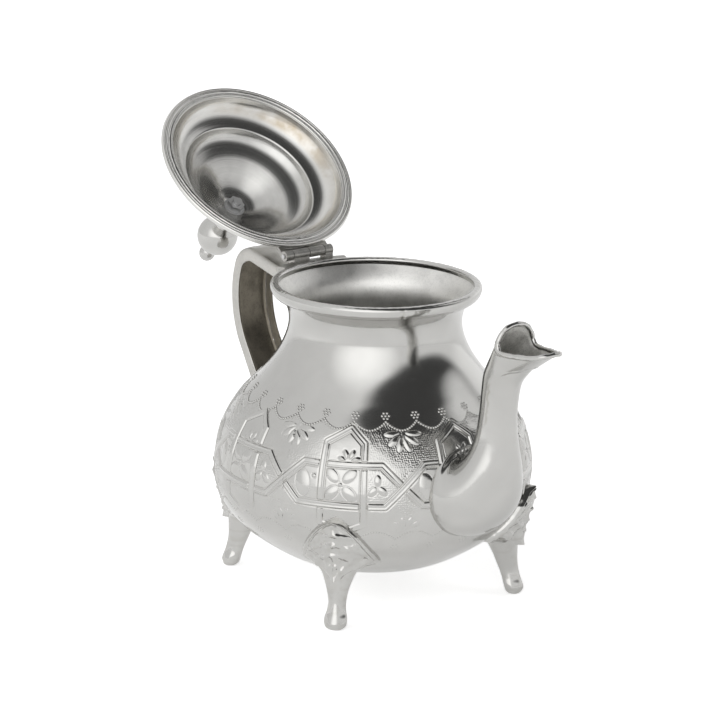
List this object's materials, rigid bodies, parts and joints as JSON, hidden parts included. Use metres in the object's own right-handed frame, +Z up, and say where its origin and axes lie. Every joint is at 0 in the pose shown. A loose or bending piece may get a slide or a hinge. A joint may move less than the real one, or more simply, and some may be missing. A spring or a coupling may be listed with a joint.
{
  "type": "coffee pot",
  "caption": "Footed silver-plated pot with a swan-neck spout, cast channel handle, chased belly and a hinged domed lid shown open.",
  "frame": {"origin": "on the floor, midway along and across the open pot's outline; the belly's axis is 6.65 mm towards the spout", "axes": "+Z up, +X towards the spout, handle and hinge at -X, +Y the pot's left"},
  "size_m": [0.2472, 0.14, 0.2021],
  "materials": {
    "body_silver": "polished silver plate on brass, chased and stippled band, grey in the recesses",
    "base_silver": "polished silver plate, slightly duller",
    "rim_silver": "silver plate with a hammered top edge and a dark soldered joint",
    "spout_silver": "polished silver plate with soldered seams",
    "handle_silver": "satin cast silver plate, darker in the channel",
    "hinge_silver": "rough cast silver plate with solder",
    "pin_steel": "worn bright metal",
    "lid_silver": "spun silver plate with circular brush marks inside",
    "lid_ring_silver": "rolled silver plate edge",
    "finial_silver": "turned and polished silver plate",
    "fixing_metal": "plain bright metal screw, washer and nut",
    "foot_silver": "cast and polished silver plate"
  },
  "bodies": {
    "pot": {"body_shell": "body_silver", "base_disc": "base_silver", "rim_ring": "rim_silver", "spout_left": "spout_silver", "spout_right": "spout_silver", "handle": "handle_silver", "hinge_bracket": "hinge_silver", "hinge_pin": "pin_steel", "foot_front_left": "foot_silver", "foot_rear_left": "foot_silver", "foot_rear_right": "foot_silver", "foot_front_right": "foot_silver"},
    "lid": {"lid_dome": "lid_silver", "lid_ring": "lid_ring_silver", "hinge_leaf": "hinge_silver", "finial_knob": "finial_silver", "finial_stud": "fixing_metal", "finial_washer": "fixing_metal", "finial_nut": "fixing_metal"}
  },
  "joints": [
    {"name": "lid_hinge", "type": "hinge", "parent": "pot", "child": "lid", "pos_m": [-0.04271, 0, 0.13978], "axis": [0, 1, 0], "range_deg": [0, 140.65]}
  ]
}
